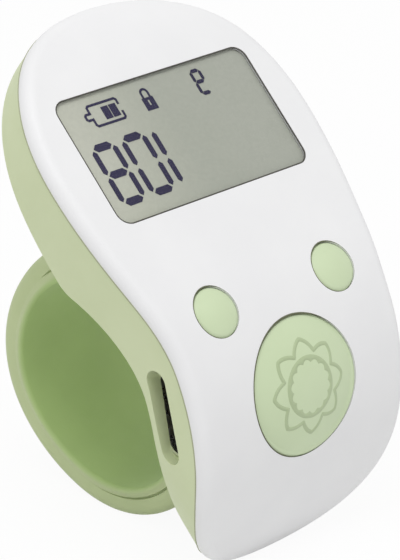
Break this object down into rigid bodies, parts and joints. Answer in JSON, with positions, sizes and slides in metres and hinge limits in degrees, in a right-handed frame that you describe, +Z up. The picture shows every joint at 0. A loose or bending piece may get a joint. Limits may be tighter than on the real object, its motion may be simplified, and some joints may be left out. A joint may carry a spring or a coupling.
{
  "type": "digital tasbih counter",
  "caption": "Finger-worn digital tally counter: curved white cover with a display and push buttons on a green shell with a soft ring and a charging port.",
  "frame": {"origin": "on the finger axis, at the middle of the ring's bore", "axes": "+X along the finger axis, to the wearer's right; -Y the front, where the buttons face; +Z up, with the counter standing on its ring and on the tip of its housing"},
  "size_m": [0.0346, 0.0373, 0.0504],
  "materials": {
    "front_cover": "satin white moulding",
    "back_cover": "satin light green moulding",
    "display_lens": "clear",
    "lcd_polarizer": "grey-green film",
    "lcd_front_glass": "clear",
    "lcd_rear_glass": "clear",
    "lcd_reflector": "matt reflecting film",
    "lcd_frame": "moulded",
    "contact_strips": "layered elastomer",
    "display_board": "green solder mask",
    "key_board": "green solder mask",
    "board_link": "amber film",
    "battery": "foil pouch",
    "battery_pad": "foam",
    "battery_tabs": "nickel strip",
    "controller_chip": "black resin",
    "charger_chip": "moulded black",
    "port_shell": "pressed steel",
    "port_tongue": "moulded black",
    "count_button": "satin light green",
    "left_button": "satin light green",
    "right_button": "satin light green",
    "count_switch": "moulded black",
    "left_switch": "moulded black",
    "right_switch": "moulded black",
    "count_plunger": "moulded",
    "left_plunger": "moulded",
    "right_plunger": "moulded",
    "case_screws": "plated",
    "board_screws": "plated",
    "finger_ring": "matt light green silicone"
  },
  "bodies": {
    "housing": {"front_cover": "front_cover", "back_cover": "back_cover", "display_lens": "display_lens", "lcd_polarizer": "lcd_polarizer", "lcd_front_glass": "lcd_front_glass", "lcd_rear_glass": "lcd_rear_glass", "lcd_reflector": "lcd_reflector", "lcd_frame": "lcd_frame", "contact_strips": "contact_strips", "display_board": "display_board", "key_board": "key_board", "board_link": "board_link", "battery": "battery", "battery_pad": "battery_pad", "battery_tabs": "battery_tabs", "controller_chip": "controller_chip", "charger_chip": "charger_chip", "port_shell": "port_shell", "port_tongue": "port_tongue", "count_switch": "count_switch", "left_switch": "left_switch", "right_switch": "right_switch", "case_screws": "case_screws", "board_screws": "board_screws", "finger_ring": "finger_ring"},
    "count_button": {"count_button": "count_button", "count_plunger": "count_plunger"},
    "left_button": {"left_button": "left_button", "left_plunger": "left_plunger"},
    "right_button": {"right_button": "right_button", "right_plunger": "right_plunger"}
  },
  "joints": [
    {"name": "count_press", "type": "slide", "parent": "housing", "child": "count_button", "axis": [0, 0.973, -0.2309], "range_m": [0, 0.0005], "stiffness_N_per_m": 400},
    {"name": "left_press", "type": "slide", "parent": "housing", "child": "left_button", "axis": [0, 0.6813, -0.732], "range_m": [0, 0.0003], "stiffness_N_per_m": 400},
    {"name": "right_press", "type": "slide", "parent": "housing", "child": "right_button", "axis": [0, 0.6813, -0.732], "range_m": [0, 0.0003], "stiffness_N_per_m": 400}
  ]
}
